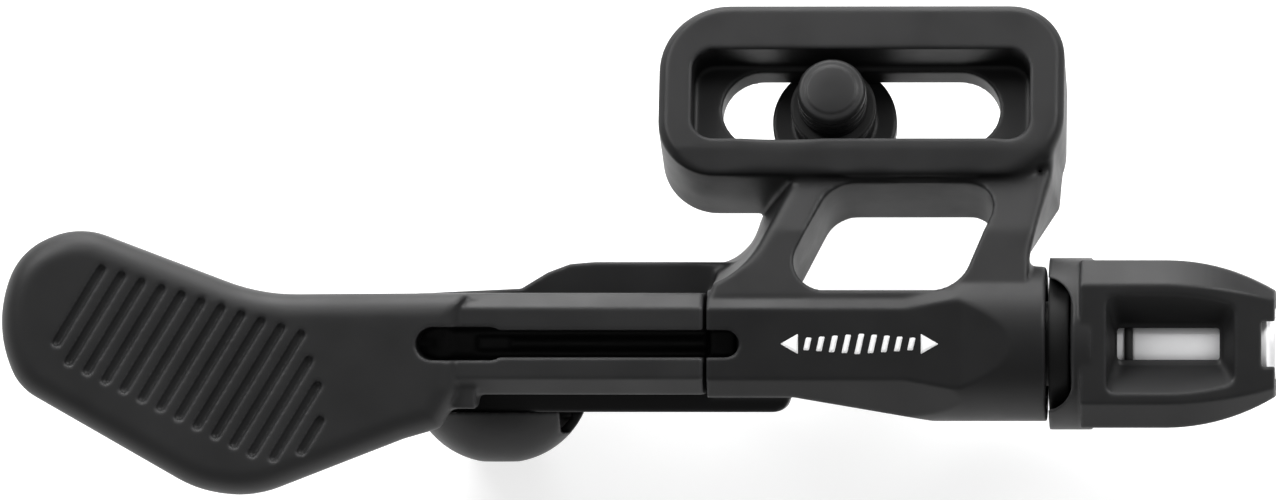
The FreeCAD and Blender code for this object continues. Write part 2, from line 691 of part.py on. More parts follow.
def build_cap():
    """The domed cap under the lower ear that holds the return spring."""
    shell = turned("cap_shell", "Y", [
        ("lower_ear_low", "0"), ("lower_ear_low", "cap_r", "6.2"), ("cap_low", "cap_r - 4.7"),
        ("cap_low", "0")], PIVOT)
    room = turned("cap_room", "Y", [
        ("lower_ear_low + 1", "0"), ("lower_ear_low + 1", "cap_r - cap_wall"),
        ("lower_ear_low - 0.4", "cap_r - cap_wall"), ("spring_low", "cap_r - cap_wall - 0.95"),
        ("axle_head_low - 0.1", "axle_head_r + 0.4"), ("axle_head_low - 0.1", "0")], PIVOT)
    notch = box("cap_notch", ("pivot_x + cap_r - 1.6", "pivot_x + cap_r + 1"),
                ("lower_ear_low - 1.5", "lower_ear_low + 1"), ("pivot_z + 0.4", "pivot_z + 5"))
    finish(cut("cap", shell, room, notch), "spring_cap")


def hex_socket(name, axis, low, high, across_half, centre):
    """A hexagonal cutter along an axis, given half its width across flats."""
    corner = "(%s) / cos(30)" % across_half
    outline = []
    for turn in range(0, 360, 60):
        outline.append(("%s + %s * cos(%d)" % (centre[0], corner, turn),
                        "%s + %s * sin(%d)" % (centre[1], corner, turn)))
    return prism(name, axis, low, high, outline)


def build_return_spring():
    """The torsion spring around the pivot: a touching coil under the lower ear and a leg up into the hub."""
    wire = size("spring_wire") / 2
    mean = size("spring_r")
    low, top = size("spring_low"), size("spring_top")
    start = math.radians(size("leg_angle"))
    pitch = size("spring_pitch")
    turns = (top - low) / pitch
    helix = Part.makeHelix(pitch, top - low, mean)
    helix.rotate(FreeCAD.Vector(0, 0, 0), AXES["Z"], math.degrees(-start) - 360 * turns)
    helix.rotate(FreeCAD.Vector(0, 0, 0), AXES["X"], -90)
    helix.translate(FreeCAD.Vector(size("pivot_x"), low, size("pivot_z")))
    ends = sorted((helix.Vertexes[0].Point, helix.Vertexes[-1].Point), key=lambda p: p.y)
    coil = swept(helix, wire)
    rise = size("hub_top") - 0.2 - ends[1].y
    up = Part.makeCylinder(wire - size("leg_ease"), rise, ends[1], AXES["Y"])
    knee = Part.makeSphere(wire, ends[1])
    foot = Part.makeSphere(wire, ends[0])
    spring = doc.addObject("Part::Feature", "return_spring")
    spring.Shape = coil.fuse([up, knee, foot]).removeSplitter()
    finish(spring, "return_spring")


def swept(path, radius):
    """A round wire along a path."""
    edge = path.Edges[0]
    circle = Part.Circle(edge.valueAt(edge.FirstParameter), edge.tangentAt(edge.FirstParameter), radius)
    profile = Part.Wire([circle.toShape()])
    pipe = Part.Wire(path.Edges).makePipeShell([profile], True, True)
    return pipe


def build_clamp_bolt():
    """The clamp bolt, its stepped washer and the ring that keeps them in the slot."""
    seat = "floor_back - running_gap"
    under = "floor_back - running_gap - clamp_washer"
    bolt = turned("bolt_body", "Z", [
        ("%s - bolt_head" % under, "0"), ("%s - bolt_head" % under, "bolt_head_r - 0.5"),
        ("%s - bolt_head + 0.5" % under, "bolt_head_r"), (under, "bolt_head_r"), (under, "bolt_neck_r"),
        ("bolt_neck", "bolt_neck_r"), ("bolt_neck + 0.15", "bolt_r"), ("bolt_tip - 0.6", "bolt_r"),
        ("bolt_tip - 0.1", "bolt_tip_r"), ("bolt_tip", "bolt_tip_r - 0.15"), ("bolt_tip", "0")])
    socket = hex_socket("bolt_hex_cut", "Z", "%s - bolt_head - 1" % under,
                        "%s - bolt_head + bolt_hex_depth" % under, "bolt_hex / 2", ("0", "0"))
    finish(cut("bolt", bolt, socket), "clamp_bolt", lower=False)
    washer = turned("clamp_washer_body", "Z", [
        (under, "bolt_neck_r + running_gap"), (under, "clamp_washer_r"), (seat, "clamp_washer_r"),
        (seat, "clamp_step_r"), (seat + " + clamp_step", "clamp_step_r"),
        (seat + " + clamp_step", "bolt_neck_r + running_gap")])
    finish(washer, "clamp_washer", lower=False)
    keeper = ring("keeper_ring", "Z", "running_gap", "running_gap + keeper", "bolt_neck_r + running_gap",
                  "keeper_r")
    finish(keeper, "bolt_keeper", lower=False)


def build_adjuster():
    """The cable adjuster: threaded barrel, knob, seal, detent ring and its spring."""
    barrel = turned("adjuster_tube", "X", [
        ("thread_left", "cable_hole_r"), ("thread_left", "thread_r - 0.5"), ("thread_left + 0.5", "thread_r"),
        ("seal_x - seal_wire / 2", "thread_r"), ("seal_x - seal_wire / 2", "thread_r - 0.35"),
        ("seal_x + seal_wire / 2", "thread_r - 0.35"), ("seal_x + seal_wire / 2", "thread_r"),
        ("tip_right - 0.6", "thread_r", "0.7"), ("tip_right", "thread_r - 0.5"),
        ("tip_right", "socket_r + 0.2"), ("tip_right - 0.2", "socket_r"), ("socket_left", "socket_r"),
        ("socket_left - 1.2", "cable_hole_r")])
    finish(barrel, "adjuster_barrel")
    build_knob()
    middle, round_r = "thread_r + 0.01", "seal_wire / 2"
    seal = turned("seal_ring", "X", [
        ("seal_x - " + round_r, middle, round_r), ("seal_x", middle + " - " + round_r, round_r),
        ("seal_x + " + round_r, middle, round_r), ("seal_x", middle + " + " + round_r, round_r)])
    finish(seal, "adjuster_seal")
    detent = ring("detent_disc", "X", "detent_left", "detent_right", "thread_r + 0.2", "detent_r")
    bumps = [cylinder("detent_bump_%d" % k, "X", "detent_right - 0.1", "detent_right + 0.1", "0.45",
                      ("4.2 * cos(%d)" % (90 * k), "4.2 * sin(%d)" % (90 * k))) for k in range(4)]
    finish(fuse("detent", detent, *bumps), "detent_ring")
    wire = size("coil_wire") / 2
    low, high = size("counterbore_left") + wire + 0.02, size("detent_left") - wire - 0.02
    helix = Part.makeLongHelix((high - low) / size("coil_turns"), high - low, size("coil_r"))
    helix.rotate(FreeCAD.Vector(0, 0, 0), AXES["Y"], 90)
    helix.translate(FreeCAD.Vector(low, 0, 0))
    coil = doc.addObject("Part::Feature", "detent_spring")
    coil.Shape = swept(helix, wire)
    finish(coil, "detent_spring")


def build_knob():
    """The square knob with chamfered corners, a scooped port in each face and notches at both ends."""
    half, flat = "knob_half", "knob_flat"
    section = [(half, "-" + flat), (half, flat), (flat, half), ("-" + flat, half), ("-" + half, flat),
               ("-" + half, "-" + flat), ("-" + flat, "-" + half), (flat, "-" + half)]
    body = prism("knob_block", "X", "knob_left", "knob_right", section)
    tapers = []
    for k in range(4):
        taper = prism("knob_taper_%d" % k, "Z", "-9", "9", [
            ("knob_taper", "knob_half", "-15"), ("knob_right + 0.01", "knob_end_half"),
            ("knob_right + 0.01", "knob_half + 3"), ("knob_taper", "knob_half + 3")])
        tapers.append(spun(taper, 90 * k))
        bevel = prism("knob_bevel_%d" % k, "Z", "-9", "9", [
            ("knob_taper", "7.16", "-15"), ("knob_right + 0.01", "knob_end_half + 1.1"),
            ("knob_right + 0.01", "11"), ("knob_taper", "11")])
        tapers.append(spun(bevel, 45 + 90 * k))
    body = cut("knob_shaped", body, *tapers)
    skirt = ring("knob_skirt", "X", "skirt_left", "skirt_right", "skirt_inner", "skirt_r")
    bites = []
    for k in (0, 2):
        bite = prism("skirt_bite_%d" % k, "Z", "0", "skirt_r + 1", [
            ("skirt_left - 1", "-bite_half"), ("bite_right - 2", "-bite_half", "2"),
            ("bite_right", "2 - bite_half"), ("bite_right", "bite_half - 2", "2"),
            ("bite_right - 2", "bite_half"), ("skirt_left - 1", "bite_half")])
        bites.append(spun(bite, 90 * k))
    skirt = cut("knob_skirt_bitten", skirt, *bites)
    hub = cylinder("knob_hub", "X", "hub_face", "knob_left + 1", "detent_r")
    body = fuse("knob_body", body, skirt, hub)
    cutters = [cylinder("knob_bore", "X", "hub_face - 1", "knob_right + 1", "thread_r")]
    cutters.append(cylinder("knob_seal_room", "X", "seal_x - seal_wire / 2 - 0.1",
                            "seal_x + seal_wire / 2 + 0.1", "thread_r + seal_wire / 2 + 0.05"))
    for k in range(4):
        scoop = scoop_cutter("scoop_%d" % k)
        port = box("port_%d" % k, ("port_left", "port_right"), ("-port_half", "port_half"),
                   ("thread_r - 1", "knob_half + 1"))
        notch = box("end_notch_%d" % k, ("notch_left", "knob_right + 1"), ("-notch_half", "notch_half"),
                    ("thread_r - 1", "knob_half + 1"))
        cutters += [spun(tool, 90 * k) for tool in (scoop, port, notch)]
    finish(cut("knob", body, *cutters), "adjuster_knob")


def spun(solid, angle):
    """Turn a cutter about the barrel's axis."""
    start = solid.Placement
    holder = doc.addObject("Part::Compound", solid.Name + "_spun")
    holder.Links = [solid]
    holder.Placement = FreeCAD.Placement(FreeCAD.Vector(0, 0, 0), FreeCAD.Rotation(AXES["X"], angle))
    solid.Placement = start
    return holder


def scoop_cutter(name):
    """A tapering scoop from the face of the knob down to its port."""
    wide = [("scoop_left", "-scoop_half"), ("scoop_right", "-scoop_half"), ("scoop_right", "scoop_half"),
            ("scoop_left", "scoop_half")]
    narrow = [("port_left - 0.1", "-port_half - 0.3"), ("port_right + 0.2", "-port_half - 0.3"),
              ("port_right + 0.2", "port_half + 0.3"), ("port_left - 0.1", "port_half + 0.3")]
    loft = doc.addObject("Part::Loft", name)
    loft.Sections = [sketch(name + "_wide", "Z", "knob_half + 0.05", [wide]),
                     sketch(name + "_narrow", "Z", "scoop_floor", [narrow])]
    loft.Solid = True
    doc.recompute()
    return rounded(name + "_round", loft, "0.7", lambda e: abs(e.BoundBox.ZLength) > 1)


def build_guide():
    """The plastic guide that leads the cable out of the barrel into the groove."""
    guide = ring("guide", "X", "groove_end - 0.3", "guide_right - 0.05", "cable_hole_r - 0.15", "guide_r")
    finish(guide, "cable_guide")


def write_parts():
    """Check the document and every sub-part, then write the STEP files."""
    doc.recompute()
    for item in doc.Objects:
        if "Invalid" in item.State or "Error" in item.State:
            raise ValueError("%s is in error" % item.Name)
    os.makedirs("parts", exist_ok=True)
    for solid in finished:
        if solid.Shape.isNull() or not solid.Shape.isValid():
            raise ValueError("%s has no valid shape" % solid.Label)
        solid.Shape.exportStep("parts/%s.step" % solid.Label)


fill_sheet()
build_bracket()
build_guide()
build_lever()
build_pivot()
build_return_spring()
build_clamp_bolt()
build_adjuster()
write_parts()
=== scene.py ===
"""Looks of the thumb shifter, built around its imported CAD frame. Metres, in the CAD's own frame."""
import json
import math

import bmesh
import bpy
from mathutils import Matrix, Vector

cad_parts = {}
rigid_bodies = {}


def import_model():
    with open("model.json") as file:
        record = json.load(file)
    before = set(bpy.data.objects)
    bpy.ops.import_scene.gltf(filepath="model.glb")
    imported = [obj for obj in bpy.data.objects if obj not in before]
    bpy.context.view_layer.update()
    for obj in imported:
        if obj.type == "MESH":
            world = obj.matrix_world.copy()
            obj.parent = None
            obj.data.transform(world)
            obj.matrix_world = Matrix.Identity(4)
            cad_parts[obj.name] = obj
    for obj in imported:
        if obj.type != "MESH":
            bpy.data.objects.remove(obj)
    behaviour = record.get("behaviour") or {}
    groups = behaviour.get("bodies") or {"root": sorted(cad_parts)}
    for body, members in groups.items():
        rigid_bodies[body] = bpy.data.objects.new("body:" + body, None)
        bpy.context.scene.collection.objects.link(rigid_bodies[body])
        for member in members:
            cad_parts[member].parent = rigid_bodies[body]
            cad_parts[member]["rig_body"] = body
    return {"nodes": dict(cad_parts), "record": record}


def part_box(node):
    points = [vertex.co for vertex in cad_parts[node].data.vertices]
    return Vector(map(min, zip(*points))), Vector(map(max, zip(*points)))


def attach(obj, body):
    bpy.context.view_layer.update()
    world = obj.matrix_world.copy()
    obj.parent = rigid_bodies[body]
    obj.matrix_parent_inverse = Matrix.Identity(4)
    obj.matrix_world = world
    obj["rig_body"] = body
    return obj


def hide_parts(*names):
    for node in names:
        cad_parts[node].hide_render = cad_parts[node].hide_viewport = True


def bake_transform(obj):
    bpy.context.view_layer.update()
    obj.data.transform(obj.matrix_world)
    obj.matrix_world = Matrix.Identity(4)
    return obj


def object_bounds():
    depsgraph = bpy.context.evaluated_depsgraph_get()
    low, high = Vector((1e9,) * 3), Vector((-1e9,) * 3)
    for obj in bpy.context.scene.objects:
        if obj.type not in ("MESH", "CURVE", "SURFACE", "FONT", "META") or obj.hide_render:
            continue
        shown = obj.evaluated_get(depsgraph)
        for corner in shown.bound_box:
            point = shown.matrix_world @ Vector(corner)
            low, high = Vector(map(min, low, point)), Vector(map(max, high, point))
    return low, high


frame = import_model()
cad_low, cad_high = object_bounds()

MM = 0.001
TILT = math.radians(22.0)
BARREL_Y = -17.2 * MM
BARREL_Z = -2.0 * MM


def lower_point(x, p, q):
    """A point of the tilted lower half, given in millimetres, in the CAD's frame."""
    y = BARREL_Y + MM * (p * math.cos(TILT) - q * math.sin(TILT))
    z = BARREL_Z + MM * (p * math.sin(TILT) + q * math.cos(TILT))
    return Vector((x * MM, y, z))


# ---------------------------------------------------------------- objects and meshes

def add_object(name, data):
    """A new object in the scene."""
    made = bpy.data.objects.new(name, data)
    bpy.context.scene.collection.objects.link(made)
    return made


def dress(obj, material):
    """Gives an object one finish."""
    obj.data.materials.clear()
    obj.data.materials.append(material)


def add_piece(name, mesh, material):
    """A new smooth piece of one finish, which doesn't ride on anything yet."""
    piece = add_object(name, mesh)
    dress(piece, material)
    for face in mesh.polygons:
        face.use_smooth = True
    return piece


def stand_for(node):
    """Hides the CAD node that a piece stands in for."""
    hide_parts(node)


def as_mesh(build, name):
    """A mesh made from a bmesh, which is freed."""
    mesh = bpy.data.meshes.new(name)
    build.to_mesh(mesh)
    build.free()
    return mesh


def crease(piece, angle):
    """Keeps an edge crisp where its two faces meet at more than the angle, in degrees."""
    build = bmesh.new()
    build.from_mesh(piece.data)
    for edge in build.edges:
        if len(edge.link_faces) == 2:
            edge.smooth = edge.calc_face_angle(0.0) < math.radians(angle)
    build.to_mesh(piece.data)
    build.free()


# ---------------------------------------------------------------- materials

EDGE_RADIUS = 0.35 * MM
CLOUD_SCALE = 220.0
DARKER, LIGHTER = 0.82, 1.18
EDGE_POLISH = 0.12
# Cosines of an edge's turn at which its wear starts and is full.
WEAR_TURN = (0.995, 0.9)
# Ranges of the cloudy noise that wear and roughness follow.
WEAR_CLOUDS, GLOSS_CLOUDS = (0.35, 0.65), (0.25, 0.75)
LEAST_WEAR = 0.35


def add_node(tree, kind, settings=None, **inputs):
    """A shader node with its settings, and its inputs set to values or linked to other nodes.

    An input is named as its socket is, with _ for a space, or by number, as in i_0.
    """
    made = tree.nodes.new(kind)
    for name, value in (settings or {}).items():
        setattr(made, name, value)
    for name, value in inputs.items():
        socket = made.inputs[int(name[2:]) if name.startswith("i_") else name.replace("_", " ")]
        if isinstance(value, bpy.types.NodeSocket):
            tree.links.new(value, socket)
        else:
            socket.default_value = value
    return made


def blend_colour(tree, share, first, second):
    """A colour that goes from the first to the second as the share goes from 0 to 1."""
    first, second = ((*c, 1.0) if isinstance(c, tuple) else c for c in (first, second))
    made = add_node(tree, "ShaderNodeMix", {"data_type": "RGBA"}, Factor=share, i_6=first,
                    i_7=second)
    return made.outputs[2]


def ramp(tree, value, before, after):
    """A value taken from one range to another, and held at its ends."""
    return add_node(tree, "ShaderNodeMapRange", Value=value, From_Min=before[0], From_Max=before[1],
                    To_Min=after[0], To_Max=after[1]).outputs[0]


def new_material(name):
    """A material with nodes, its node tree and its shader."""
    made = bpy.data.materials.new(name)
    made.use_nodes = True
    return made, made.node_tree, made.node_tree.nodes["Principled BSDF"]


def surface(name, colour, worn, rough, grain=9000.0, depth=3e-6, metal=0.0, stretch=(1, 1, 1),
            spread=0.08, specular=0.5):
    """A finish with a fine grain, cloudy colour and roughness, and paler, smoother edges.

    The grain is a noise scale per metre, its depth is in metres, and the roughness varies by the
    spread either way.
    """
    made, tree, shader = new_material(name)
    place = tree.nodes.new("ShaderNodeTexCoord").outputs["Object"]
    stretched = add_node(tree, "ShaderNodeMapping", Vector=place, Scale=stretch).outputs["Vector"]
    fine = add_node(tree, "ShaderNodeTexNoise", Vector=stretched, Scale=grain, Detail=3.0,
                    Roughness=0.6).outputs[0]
    cloudy = add_node(tree, "ShaderNodeTexNoise", Vector=place, Scale=CLOUD_SCALE, Detail=4.0,
                      Roughness=0.55).outputs[0]
    rounded = add_node(tree, "ShaderNodeBevel", {"samples": 6}, Radius=EDGE_RADIUS).outputs[0]
    true_normal = tree.nodes.new("ShaderNodeNewGeometry").outputs["True Normal"]
    facing = add_node(tree, "ShaderNodeVectorMath", {"operation": "DOT_PRODUCT"}, i_0=rounded,
                      i_1=true_normal).outputs["Value"]
    rim = ramp(tree, facing, WEAR_TURN, (0.0, 1.0))
    patchy = ramp(tree, cloudy, WEAR_CLOUDS, (LEAST_WEAR, 1.0))
    wear = add_node(tree, "ShaderNodeMath", {"operation": "MULTIPLY"}, i_0=rim,
                    i_1=patchy).outputs[0]
    base = blend_colour(tree, cloudy, tuple(c * DARKER for c in colour),
                        tuple(c * LIGHTER for c in colour))
    tree.links.new(blend_colour(tree, wear, base, worn), shader.inputs["Base Color"])
    gloss = ramp(tree, cloudy, GLOSS_CLOUDS, (rough - spread, rough + spread))
    smoother = add_node(tree, "ShaderNodeMath", {"operation": "MULTIPLY_ADD"}, i_0=wear,
                        i_1=-EDGE_POLISH, i_2=gloss).outputs[0]
    tree.links.new(smoother, shader.inputs["Roughness"])
    bump = add_node(tree, "ShaderNodeBump", Strength=1.0, Distance=depth, Height=fine,
                    Normal=rounded).outputs[0]
    tree.links.new(bump, shader.inputs["Normal"])
    shader.inputs["Metallic"].default_value = metal
    shader.inputs["Specular IOR Level"].default_value = specular
    return made


FINISHES = {
    "black_alloy": surface("black_alloy", (0.0085, 0.0085, 0.0088), (0.024, 0.024, 0.025), 0.46,
                           depth=4e-6, specular=0.2),
    "lever_alloy": surface("black_lever", (0.0105, 0.0105, 0.0108), (0.03, 0.03, 0.031), 0.5,
                           grain=7000.0, depth=6e-6, specular=0.3),
    "knob_black": surface("black_knob", (0.01, 0.01, 0.0103), (0.03, 0.03, 0.031), 0.46,
                          depth=4e-6, specular=0.22),
    "black_steel": surface("black_steel", (0.009, 0.009, 0.0093), (0.028, 0.028, 0.028), 0.42,
                           depth=2e-6, specular=0.2),
    "silver_alloy": surface("silver_alloy", (0.93, 0.93, 0.94), (0.97, 0.97, 0.97), 0.45,
                            grain=260.0, depth=1.5e-6, metal=0.25, stretch=(40, 1, 1), spread=0.05),
    "steel": surface("steel", (0.5, 0.5, 0.51), (0.7, 0.7, 0.7), 0.3, grain=5000.0, depth=1e-6,
                     metal=1.0),
    "spring_steel": surface("spring_steel", (0.4, 0.4, 0.41), (0.6, 0.6, 0.6), 0.28, grain=3000.0,
                            depth=1e-6, metal=1.0),
    # The polymer is black, and its base is darkened further as painted shade, so that the clamp
    # keeper reads dark in the slot's shadow.
    "polymer": surface("polymer", (0.006, 0.006, 0.006), (0.012, 0.012, 0.012), 0.55, grain=4000.0,
                       specular=0.15),
    "rubber": surface("rubber", (0.012, 0.012, 0.012), (0.025, 0.025, 0.025), 0.72, grain=2500.0,
                      depth=6e-6),
}
PRINT = surface("white_print", (0.86, 0.86, 0.86), (0.8, 0.8, 0.8), 0.5, grain=6000.0)
SLOT_OF = {part["node"]: part["material_slot"] for part in frame["record"]["subparts"]}

# Painted shade: the adjuster's silver turns dark below this x, standing in for the shadow in the gap
# between the bracket's barrel and the knob.
SHADED_BEFORE = 17.3 * MM
SHADE_EDGE = 0.05 * MM
PAINTED_SHADE = (0.02, 0.02, 0.02)


def paint_gap_shade(material):
    """Paints the adjuster's silver dark along its thread, below 17.3 mm along x: painted shade for
    the gap between the bracket's barrel and the knob, which lies in shadow.
    """
    tree = material.node_tree
    base = tree.nodes["Principled BSDF"].inputs["Base Color"]
    own_colour = base.links[0].from_socket
    place = tree.nodes.new("ShaderNodeTexCoord").outputs["Object"]
    along = add_node(tree, "ShaderNodeSeparateXYZ", Vector=place).outputs["X"]
    share = ramp(tree, along, (SHADED_BEFORE - SHADE_EDGE, SHADED_BEFORE + SHADE_EDGE),
                 (1.0, 0.0))
    tree.links.new(blend_colour(tree, share, own_colour, PAINTED_SHADE), base)


# Painted shade on the adjuster's silver in the gap by the knob.
paint_gap_shade(FINISHES["silver_alloy"])
for node_name, node_object in frame["nodes"].items():
    dress(node_object, FINISHES[SLOT_OF[node_name]])


# ---------------------------------------------------------------- soft-edged skins

WELD_REACH = 0.0005
SMOOTHING = 0.5


def add_modifier(work, kind, **settings):
    """A modifier with its settings, after those that the object has."""
    made = work.modifiers.new(kind.lower(), kind)
    for name, value in settings.items():
        setattr(made, name, value)


def evaluated(work, mesh_name):
    """The mesh that an object's modifiers make, with the object removed."""
    bpy.context.view_layer.update()
    graph = bpy.context.evaluated_depsgraph_get()
    result = bpy.data.meshes.new_from_object(work.evaluated_get(graph))
    bpy.data.objects.remove(work)
    result.name = mesh_name
    return result


def soft_edged(node, name, voxel, passes, keep, blends=()):
    """The CAD node's own shape with its edges and inner corners softened, as a coated part's are.

    The voxel is in millimetres, and keep is the share of the faces kept. Each blend is a ball, its
    centre and reach in millimetres, in which more passes round the corners further.
    """
    source = frame["nodes"][node]
    mesh = source.data.copy()
    mesh.transform(Matrix.Scale(1 / MM, 4))
    work = add_object(name + "_work", mesh)
    add_modifier(work, "WELD", merge_threshold=WELD_REACH)
    add_modifier(work, "REMESH", mode="VOXEL", voxel_size=voxel)
    add_modifier(work, "SMOOTH", factor=SMOOTHING, iterations=passes)
    skin = evaluated(work, name + "_skin")
    work = add_object(name + "_work", skin)
    for number, (centre, reach, more) in enumerate(blends):
        group = work.vertex_groups.new(name="blend_%d" % number)
        middle = Vector(centre)
        for vertex in skin.vertices:
            near = 2.0 * (1.0 - (vertex.co - middle).length / reach)
            if near > 0:
                group.add([vertex.index], min(near, 1.0), "REPLACE")
        add_modifier(work, "SMOOTH", factor=SMOOTHING, iterations=more, vertex_group=group.name)
    add_modifier(work, "DECIMATE", ratio=keep)
    result = evaluated(work, name)
    result.transform(Matrix.Scale(MM, 4))
    piece = add_piece(name, result, FINISHES[SLOT_OF[node]])
    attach(piece, source["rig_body"])
    stand_for(node)


# ---------------------------------------------------------------- clamp bolt

# Millimetres. The bolt stands along the z axis with its free end up.
PITCH = 0.8
CREST, ROOT, NECK = 2.45, 2.07, 2.2
FLANK = 1.25
THREAD_START, THREAD_END_GAP = 0.2, 0.5
START_SUNK = 0.12
NECK_END = 0.1
HEAD_HEIGHT = 3.3
SOCKET_HALF, SOCKET_DEPTH = 1.5, 2.0
STEPS_ROUND, STEPS_UP = 96, 48
# Each pair is a height from the rim and a distance in from it, or out from it for the socket.
SOCKET_RIM = ((0.35, 0.0), (0.05, 0.18), (0.0, 0.3))
HEAD_LOW_RIM = ((0.0, 0.75), (0.1, 0.4), (0.35, 0.12), (0.75, 0.0))
HEAD_TOP_RIM = ((0.3, 0.0), (0.08, 0.08), (0.0, 0.3))
# Each pair is a depth below the free end and a radius.
FREE_END = ((0.32, CREST - 0.03), (0.14, CREST - 0.22), (0.1, 1.87), (0.02, 1.81), (0.0, 1.73),
            (0.0, 0.4))


def thread_radius(angle, height):
    """The thread's surface, a helix that fades in over its first turn."""
    turn = (height / PITCH - angle / math.tau) % 1.0
    wave = min(abs(turn - 0.5) * 2 * FLANK, 1.0)
    depth = (CREST - ROOT) * (1 - wave)
    fade = min(1.0, max(0.0, (height - THREAD_START) / PITCH))
    return CREST - depth * fade - (1 - fade) * START_SUNK


def socket_wall(scale=1.0, wider=0.0):
    """A function of angle and height that gives the hexagon socket's distance from the axis."""
    def radius(angle, _height):
        sector = (angle + math.pi / 6) % (math.pi / 3) - math.pi / 6
        return SOCKET_HALF / math.cos(sector) * scale + wider
    return radius


def turned_mesh(name, rows):
    """A closed mesh of rings about the z axis, all in millimetres.

    Each row is a height and a radius, which may be a function of the angle and height.
    """
    build = bmesh.new()
    rings = []
    for height, radius in rows:
        ring = []
        for step in range(STEPS_ROUND):
            angle = math.tau * step / STEPS_ROUND
            reach = radius(angle, height) if callable(radius) else radius
            corner = Vector((reach * math.cos(angle), reach * math.sin(angle), height))
            ring.append(build.verts.new(corner * MM))
        rings.append(ring)
    for lower, upper in zip(rings, rings[1:]):
        for step in range(STEPS_ROUND):
            after = (step + 1) % STEPS_ROUND
            build.faces.new((lower[step], lower[after], upper[after], upper[step]))
    build.faces.new(list(reversed(rings[0])))
    build.faces.new(rings[-1])
    bmesh.ops.recalc_face_normals(build, faces=build.faces)
    return as_mesh(build, name)


def build_bolt():
    """The clamp bolt, from its socket's floor out over the head and up the thread to its end."""
    low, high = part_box("clamp_bolt")
    head_low, tip = low.z / MM, high.z / MM
    head_top = head_low + HEAD_HEIGHT
    rim = (high.x - low.x) / 2 / MM
    first, last = THREAD_START, tip - THREAD_END_GAP
    socket_floor = head_low + SOCKET_DEPTH
    rows = [(socket_floor, socket_wall(scale=0.5)), (socket_floor, socket_wall())]
    rows += [(head_low + up, socket_wall(wider=out)) for up, out in SOCKET_RIM]
    rows += [(head_low + up, rim - inward) for up, inward in HEAD_LOW_RIM]
    rows += [(head_top - down, rim - inward) for down, inward in HEAD_TOP_RIM]
    rows += [(head_top, NECK), (NECK_END, NECK)]
    rows += [(first + (last - first) * step / STEPS_UP, thread_radius)
             for step in range(STEPS_UP + 1)]
    rows += [(tip - down, radius) for down, radius in FREE_END]
    mesh = turned_mesh("clamp_bolt_threaded", rows)
    piece = add_piece("clamp_bolt_threaded", mesh, FINISHES["black_steel"])
    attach(piece, "clamp_bolt")
    stand_for("clamp_bolt")
    crease(piece, 28.0)


# ---------------------------------------------------------------- springs

def follow_both_ends(node, name, moving, slot_name, start, end):
    """A spring's own shape in its CAD node's place, with the given finish; it rides on no body."""
    mesh = frame["nodes"][node].data.copy()
    mesh.name = name
    piece = add_piece(name, mesh, FINISHES[slot_name])
    stand_for(node)
    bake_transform(piece)


# ---------------------------------------------------------------- printed mark

# Millimetres, along the barrel and across its front flat.
FLAT_FRONT = 4.55
MARK_SUNK, MARK_PROUD = 0.05, 0.03
MARK_HEIGHT = 0.08
MARK_CORNER = 0.08
MARK_MIDDLE = 2.25
ARROW_TIP, ARROW_ROOT, ARROW_HALF = 5.6, 4.35, 0.72
BARS, BAR_STEP, BAR_HALF, BAR_LEAN = 9, 0.92, 0.2, 0.22
BAR_SHORT, BAR_GROWTH = 0.45, 0.27


def mark_outlines():
    """An arrowhead each side of a row of slanted bars, which are tallest in the middle."""
    outlines = []
    for side in (-1, 1):
        tip, root = MARK_MIDDLE + side * ARROW_TIP, MARK_MIDDLE + side * ARROW_ROOT
        outlines.append([(tip, 0.0), (root, ARROW_HALF), (root, -ARROW_HALF)])
    outermost = (BARS - 1) / 2
    for bar in range(BARS):
        middle = MARK_MIDDLE + (bar - outermost) * BAR_STEP
        tall = BAR_SHORT + BAR_GROWTH * (1 - abs(bar - outermost) / outermost)
        lean = BAR_LEAN * tall
        outlines.append([(middle - BAR_HALF - lean, -tall), (middle + BAR_HALF - lean, -tall),
                         (middle + BAR_HALF + lean, tall), (middle - BAR_HALF + lean, tall)])
    return outlines


def build_mark():
    """A plain printed pictogram on the barrel's front flat."""
    build = bmesh.new()
    for outline in mark_outlines():
        base = [build.verts.new(lower_point(x, p, FLAT_FRONT - MARK_SUNK)) for x, p in outline]
        top = [build.verts.new(lower_point(x, p, FLAT_FRONT + MARK_PROUD)) for x, p in outline]
        build.faces.new(base)
        build.faces.new(list(reversed(top)))
        for k, start in enumerate(base):
            after = (k + 1) % len(base)
            build.faces.new((start, top[k], top[after], base[after]))
    bmesh.ops.recalc_face_normals(build, faces=build.faces)
    upright = [e for e in build.edges
               if abs((e.verts[1].co - e.verts[0].co).length - MARK_HEIGHT * MM) < 0.001 * MM]
    bmesh.ops.bevel(build, geom=upright, offset=MARK_CORNER * MM, segments=3, affect="EDGES",
                    profile=0.5)
    piece = add_piece("barrel_mark", as_mesh(build, "barrel_mark"), PRINT)
    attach(piece, "bracket")
    crease(piece, 30.0)


# ---------------------------------------------------------------- the object

# Millimetres. The two ends of each spring's span.
PIVOT_X, PIVOT_Q = -24.0, -7.3
RETURN_SPAN, DETENT_SPAN = (-6.5, -5.0), (12.4, 15.6)

